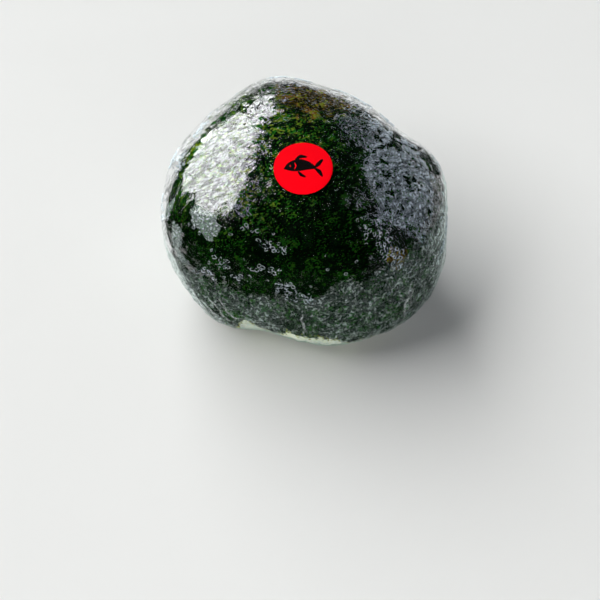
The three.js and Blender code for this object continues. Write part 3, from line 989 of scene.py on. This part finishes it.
def rice():
    """The core of rice, with single grains near and below the edge of the seaweed."""
    draw = np.random.default_rng(GRAIN_SEED + 1)
    lumps = core.evened(grain_swell(core), 1)
    uncovered = eased(nori_edge(core.azimuth) - core.elevation, *BARE_RANGE)
    points = [core.at_depth(CORE_DEPTH - BARE_RISE * uncovered - CORE_RISE * lumps)]
    triangles = [core.triangles]
    count = len(points[0])
    shape, faces = one_grain()
    azimuth, elevation = angles_of(grain_directions)
    below_edge = nori_edge(azimuth) - elevation
    top_depth = GRAIN_TOP_DEPTH - BARE_RISE * eased(below_edge, *BARE_RANGE)
    for i in np.nonzero(below_edge > -GRAINS_ABOVE_EDGE)[0]:
        lengths = GRAIN * grain_size[i]
        grain = shape.copy()
        grain[:, 1] += draw.uniform(-GRAIN_BEND, GRAIN_BEND) * (4 * grain[:, 0] ** 2 - 0.5)
        depth = top_depth[i] + lengths[2] / 2 + draw.uniform(0, GRAIN_SINK)
        along = unit(grain_along[i] + grain_normals[i] * draw.uniform(-GRAIN_TILT, GRAIN_TILT))
        axes = [along, grain_across[i], unit(np.cross(along, grain_across[i]))]
        placed = grain_middles[i] - grain_normals[i] * depth + grain * lengths @ axes
        placed[:, 2] = np.maximum(placed[:, 2], FLOOR_LEVEL + GRAIN_CLEARANCE)
        points.append(placed)
        triangles.append(faces + count)
        count += len(placed)
    piece("rice_grains", np.vstack(points), np.vstack(triangles), rice_finish(), "rice")


rice()

# ---- label and its brush mark ----

label_level = outer_points(LABEL_AIM[None])[0]
label_normal = ball.normals[ball.nearest([LABEL_AIM])[0]]
label_side = unit(np.cross([0, 1.0, 0], label_normal))
label_up = np.cross(label_normal, label_side)


def on_label(across, up, height):
    """A point of the label from its middle, at a height over the film."""
    across, up = np.asarray(across, float), np.asarray(up, float)
    flat = label_level + across[:, None] * label_side + up[:, None] * label_up
    away = unit(flat - LEAN * flat[:, 2:] / FULL_HEIGHT)
    drop = (outer_points(away) - flat) @ label_normal
    return flat + label_normal * (drop + height)[:, None]


def label():
    ways = spokes(LABEL_SIDES)
    rows = [(LABEL_RADIUS * ring / LABEL_RINGS, LABEL_THICKNESS) for ring in range(1, LABEL_RINGS)]
    rows += [(LABEL_RADIUS - LABEL_EDGE, LABEL_THICKNESS), (LABEL_RADIUS, LABEL_THICKNESS - LABEL_EDGE),
             (LABEL_RADIUS, -LABEL_EDGE)]
    points = [on_label([0], [0], LABEL_THICKNESS)]
    points += [on_label(radius * cos(ways), radius * sin(ways), height) for radius, height in rows]
    triangles = cone_faces(0, 1, LABEL_SIDES) + row_faces(1, LABEL_SIDES, len(rows))
    piece("round_label", np.vstack(points), triangles, label_finish(), "label")


label()

# Brush strokes of a plain swimming fish: points across and up from the label's middle, and half widths.
FISH = [
    [(-5.3, -0.5, 0.1), (-4.3, -0.1, 1.05), (-2.9, 0.3, 1.7), (-1.0, 0.6, 1.95), (1.0, 0.4, 1.45),
     (2.6, -0.1, 0.75), (3.5, -0.4, 0.4)],
    [(3.1, -0.3, 0.3), (4.1, 0.9, 0.62), (5.3, 2.5, 0.3)],
    [(3.1, -0.4, 0.3), (4.3, -1.3, 0.62), (5.2, -2.9, 0.26)],
    [(-2.2, 2.2, 0.25), (-0.7, 3.3, 0.62), (1.1, 3.1, 0.25)],
    [(-1.4, -1.4, 0.22), (-0.5, -2.5, 0.48), (0.7, -3.1, 0.2)],
]
BARE_IN_FISH = [  # where the brush left the paper bare: the gill and the eye
    [(-2.35, 1.35, 0.1), (-1.95, 0.3, 0.15), (-2.35, -0.75, 0.1)],
    [(-3.62, 0.32, 0.26), (-3.35, 0.36, 0.26)],
]
STROKE_STEPS = 26
STROKE_SMOOTHING = 3  # rounds
STROKE_BLUNTNESS = 9  # a power: the higher, the blunter its ends
STROKE_SHARES = (1, 0.9, 0.6, 0.3, 0, -0.3, -0.6, -0.9, -1)
INK_HEIGHT, BARE_HEIGHT = 0.02, 0.05


def brushed(name, strokes, finish, height):
    """Strokes that stand a little over the label."""
    points, triangles = [], []
    for stroke in strokes:
        stroke = np.array(stroke)
        length = np.append(0, np.cumsum(np.hypot(*np.diff(stroke[:, :2], axis=0).T)))
        steps = np.linspace(0, length[-1], STROKE_STEPS)
        smooth = np.array([np.interp(steps, length, column) for column in stroke.T])
        for _ in range(STROKE_SMOOTHING):
            smooth[:, 1:-1] = (smooth[:, :-2] + 2 * smooth[:, 1:-1] + smooth[:, 2:]) / 4
        x, y, half = smooth
        dx, dy = np.gradient(x), np.gradient(y)
        size = np.hypot(dx, dy)
        nx, ny = -dy / size, dx / size
        half = half * np.sqrt(1 - np.abs(np.linspace(-1, 1, STROKE_STEPS)) ** STROKE_BLUNTNESS)
        triangles += row_faces(len(points) * STROKE_STEPS, STROKE_STEPS, len(STROKE_SHARES), closed=False)
        points += [on_label(x + nx * half * s, y + ny * half * s, LABEL_THICKNESS + (abs(s) < 1) * height)
                   for s in STROKE_SHARES]
    piece(name, np.vstack(points), triangles, finish)


brushed("label_brush_fish", FISH, ink_finish(), INK_HEIGHT)
brushed("label_bare_in_fish", BARE_IN_FISH, label_finish(), BARE_HEIGHT)

# ---- floor, lights, camera ----

FLOOR_HALF = 3000
STUDIO_DISTANCE = 600
LIGHT_AIM_HEIGHT = 25


def panel_light(name, azimuth, elevation, size, radiance, shift=(0, 0), tilt=0, colour=(1, 1, 1),
                shine=True, fill=True, shape="RECTANGLE"):
    """A lit panel facing the ball. Size and shift are shares of its distance, tilt turns it in its plane.
    Shine shows in reflections, and fill lights dull surfaces."""
    towards = direction_at(azimuth, elevation)
    side = unit(np.cross([0, 0, 1.0], towards))
    up = np.cross(towards, side)
    a = radians(tilt)
    long, short = side * cos(a) + up * sin(a), -side * sin(a) + up * cos(a)
    middle = (towards + side * shift[0] + up * shift[1]) * STUDIO_DISTANCE + [0, 0, LIGHT_AIM_HEIGHT]
    light = bpy.data.lights.new(name, "AREA")
    light.shape = shape
    light.size, light.size_y = (s * STUDIO_DISTANCE * MM for s in size)
    light.energy = radiance * np.pi * light.size * light.size_y
    light.color = colour
    made = add(name, light)
    made.matrix_world = Matrix.Translation(middle * MM) @ Matrix(
        np.stack([long, short, np.cross(long, short)], 1).tolist()).to_4x4()
    made.visible_camera, made.visible_glossy, made.visible_diffuse = False, shine, fill


h = FLOOR_HALF * MM
add_mesh("floor", [(-h, -h, 0), (h, -h, 0), (h, h, 0), (-h, h, 0)], [(0, 1, 2, 3)], floor_finish())
SOFTBOX = dict(azimuth=155, elevation=45, shift=(-0.17, 0.02), tilt=14, size=(2.1, 0.92), shape="ELLIPSE")
panel_light("softbox_shine", radiance=6.8, colour=(0.98, 1.0, 1.0), fill=False, **SOFTBOX)
panel_light("softbox_fill", radiance=7.0, colour=(0.99, 1.0, 0.99), shine=False, **SOFTBOX)
panel_light("side_reflector_shine", 20, 25, size=(1.96, 1.3), shift=(0.34, 0.02), radiance=2.25,
            colour=(0.74, 0.88, 1.0), fill=False)
panel_light("side_reflector_fill", 20, 25, size=(1.4, 1.3), shift=(0.06, 0.02), radiance=1.2,
            colour=(0.8, 0.88, 1.0), shine=False)
panel_light("front_fill", -95, 9, size=(1.6, 0.5), radiance=3.6, shine=False)

BACKDROP_AZIMUTH, BACKDROP_HALF_WIDTH, BACKDROP_SOFT_SIDE = 136, 24, 4
BACKDROP_TOP, BACKDROP_SOFT_TOP = 6, 1  # how high the pale backdrop stands behind the ball, in degrees
DIM_STRENGTH = 0.012  # of the room around it

world = bpy.data.worlds.new("studio")
bpy.context.scene.world = world
world.use_nodes = True
studio = Finish(world.node_tree)
seen = studio.node("LightPath", out="Is Camera Ray")
pale = studio.node("Background", {"Color": (0.9, 0.9, 0.9, 1)})
dim = studio.node("Background", {"Color": (1, 1, 1, 1), "Strength": DIM_STRENGTH})
way = studio.node("TexCoord", out="Generated")
upward = studio.node("SeparateXYZ", {"Vector": way}, out="Z")
facing = studio.node("VectorMath", {0: way, 1: tuple(direction_at(BACKDROP_AZIMUTH, 0))},
                     out="Value", operation="DOT_PRODUCT")
sides = cos(radians([BACKDROP_HALF_WIDTH + BACKDROP_SOFT_SIDE, BACKDROP_HALF_WIDTH - BACKDROP_SOFT_SIDE]))
top = sin(radians([BACKDROP_TOP - BACKDROP_SOFT_TOP, BACKDROP_TOP + BACKDROP_SOFT_TOP]))
backdrop = studio.step(facing, *sides.tolist()) * (1 - studio.step(upward, *top.tolist()))
shown = studio.blend(seen, studio.blend(backdrop, dim, pale), pale)
studio.node("OutputWorld", {"Surface": shown})

CAMERA_ELEVATION = 49
CAMERA_DISTANCE = 700
AIM_BELOW, AIM_LEFT = 2.31, 0.082  # degrees
LENS = 150.8

camera_data = bpy.data.cameras.new("camera")
camera_data.lens = LENS
camera_data.clip_start, camera_data.clip_end = 0.01, 20
camera = add("camera", camera_data)
camera.location = (MIDDLE + direction_at(-90, CAMERA_ELEVATION) * CAMERA_DISTANCE) * MM
camera.rotation_euler = tuple(radians([90 - CAMERA_ELEVATION - AIM_BELOW, 0, AIM_LEFT]))
bpy.context.scene.camera = camera
bpy.context.scene.view_settings.view_transform = "Standard"
